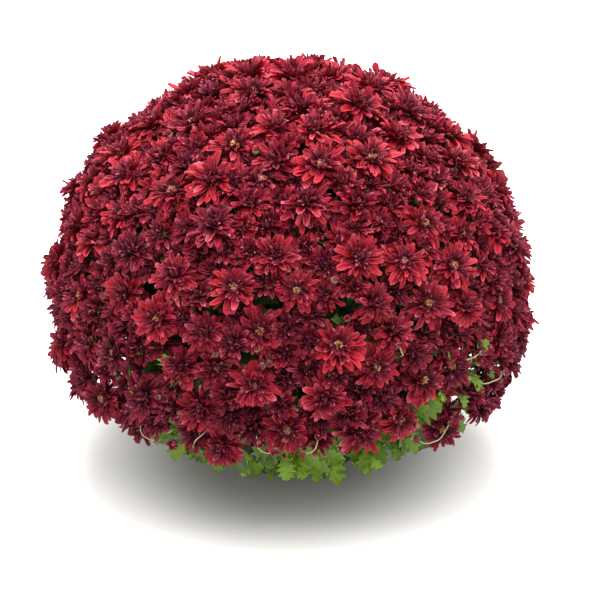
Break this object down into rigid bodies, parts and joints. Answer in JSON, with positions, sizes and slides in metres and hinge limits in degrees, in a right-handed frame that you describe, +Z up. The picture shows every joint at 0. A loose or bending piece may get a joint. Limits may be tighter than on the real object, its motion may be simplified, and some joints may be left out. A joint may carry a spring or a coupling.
{
  "type": "potted chrysanthemum",
  "caption": "Round cushion of dark crimson garden chrysanthemums on branched leafy stems, in a plain tapered pot with drain holes, standing on its flat base.",
  "frame": {"origin": "middle of the pot's flat base", "axes": "+Z up, out of the pot; -Y towards the side that the picture shows; +X to the viewer's right"},
  "size_m": [0.4949, 0.494, 0.4122],
  "materials": {
    "pot_plastic": "matte",
    "potting_soil": "matte",
    "woody_stem": "matte",
    "main_stem": "satin",
    "bloom": "satin",
    "bloom_centre": "matte",
    "calyx": "satin",
    "bud": "satin",
    "green_stem": "satin",
    "leaf": "satin"
  },
  "bodies": {
    "root": {"pot": "pot_plastic", "potting_soil": "potting_soil", "root_crown": "woody_stem", "main_stem_01": "main_stem", "main_stem_02": "main_stem", "main_stem_03": "main_stem", "main_stem_04": "main_stem", "main_stem_05": "main_stem", "main_stem_06": "main_stem", "main_stem_07": "main_stem", "main_stem_08": "main_stem", "main_stem_09": "main_stem", "main_stem_10": "main_stem", "flower_spray_01": "bloom", "flower_spray_02": "bloom", "flower_spray_03": "bloom", "flower_spray_04": "bloom", "flower_spray_05": "bloom", "flower_spray_06": "bloom", "flower_spray_07": "bloom", "flower_spray_08": "bloom", "flower_spray_09": "bloom", "flower_spray_10": "bloom", "flower_spray_11": "bloom", "flower_spray_12": "bloom", "flower_spray_13": "bloom", "flower_spray_14": "bloom", "flower_spray_15": "bloom", "flower_spray_16": "bloom", "flower_spray_17": "bloom", "flower_spray_18": "bloom", "flower_spray_19": "bloom", "flower_spray_20": "bloom", "flower_spray_21": "bloom", "flower_spray_22": "bloom", "flower_spray_23": "bloom", "flower_spray_24": "bloom", "flower_spray_25": "bloom", "flower_spray_26": "bloom", "flower_spray_27": "bloom", "flower_spray_28": "bloom", "flower_spray_29": "bloom", "flower_spray_30": "bloom", "flower_spray_31": "bloom", "flower_spray_32": "bloom", "flower_spray_33": "bloom", "flower_spray_34": "bloom", "flower_spray_35": "bloom", "leafy_shoot_01": "leaf", "leafy_shoot_02": "leaf", "leafy_shoot_03": "leaf", "leafy_shoot_04": "leaf", "leafy_shoot_05": "leaf", "leafy_shoot_06": "leaf", "leafy_shoot_07": "leaf", "leafy_shoot_08": "leaf", "leafy_shoot_09": "leaf", "leafy_shoot_10": "leaf", "leafy_shoot_11": "leaf", "leafy_shoot_12": "leaf"}
  },
  "joints": []
}
